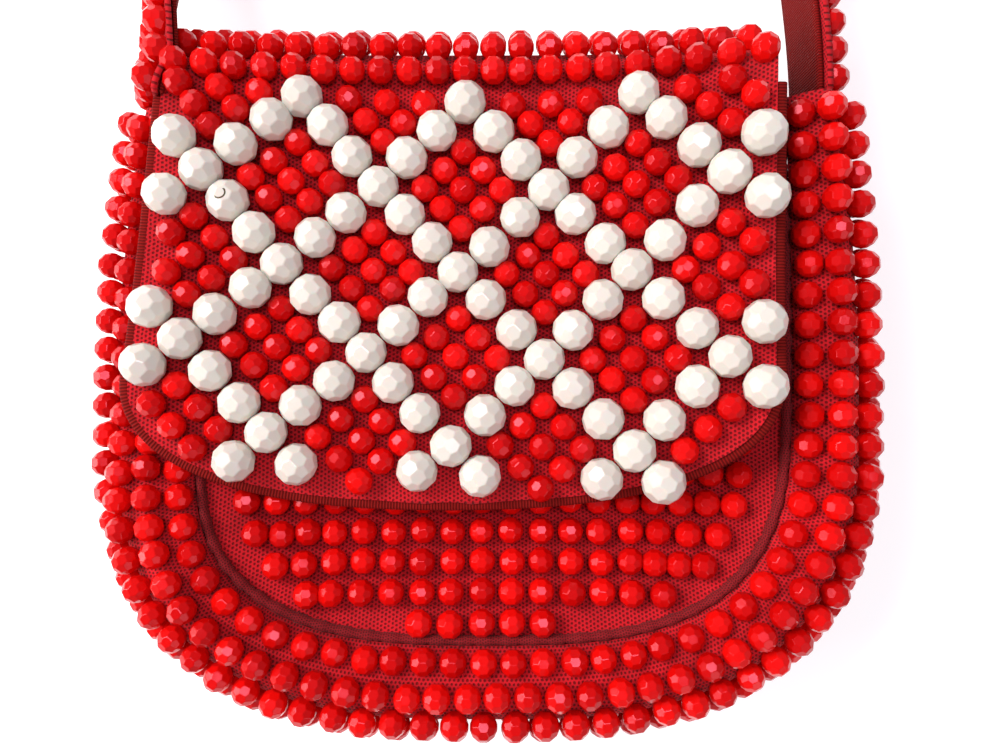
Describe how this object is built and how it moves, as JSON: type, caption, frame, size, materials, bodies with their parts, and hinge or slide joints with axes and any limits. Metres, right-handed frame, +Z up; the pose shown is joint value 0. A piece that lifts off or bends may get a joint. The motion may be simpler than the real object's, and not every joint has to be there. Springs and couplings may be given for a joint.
{
  "type": "beaded shoulder bag",
  "caption": "Round-bottomed knitted shoulder bag covered in red faceted beads, with a folded flap that carries a white bead lattice, and a beaded strap, lying on its back",
  "frame": {"origin": "under the middle of the whole length and width, on the surface the bag lies on", "axes": "+Z up from the surface, +Y along the bag from its round bottom to the strap's loop, +X to the right seen from above"},
  "size_m": [0.2396, 0.4944, 0.0633],
  "materials": {
    "red_beads": "glossy faceted plastic",
    "white_beads": "glossy faceted plastic, warm white",
    "red_knit": "open knitted net",
    "seam_knit": "fuzzy knitted edge",
    "ribbon": "ribbed ribbon"
  },
  "bodies": {
    "root": {"back_panel": "red_beads", "gusset": "red_beads", "front_panel": "red_beads", "front_seam": "seam_knit", "mouth_binding": "ribbon", "flap": "red_knit", "white_beads": "white_beads", "flap_binding": "ribbon", "strap_band": "red_beads", "strap_lining": "ribbon"}
  },
  "joints": []
}
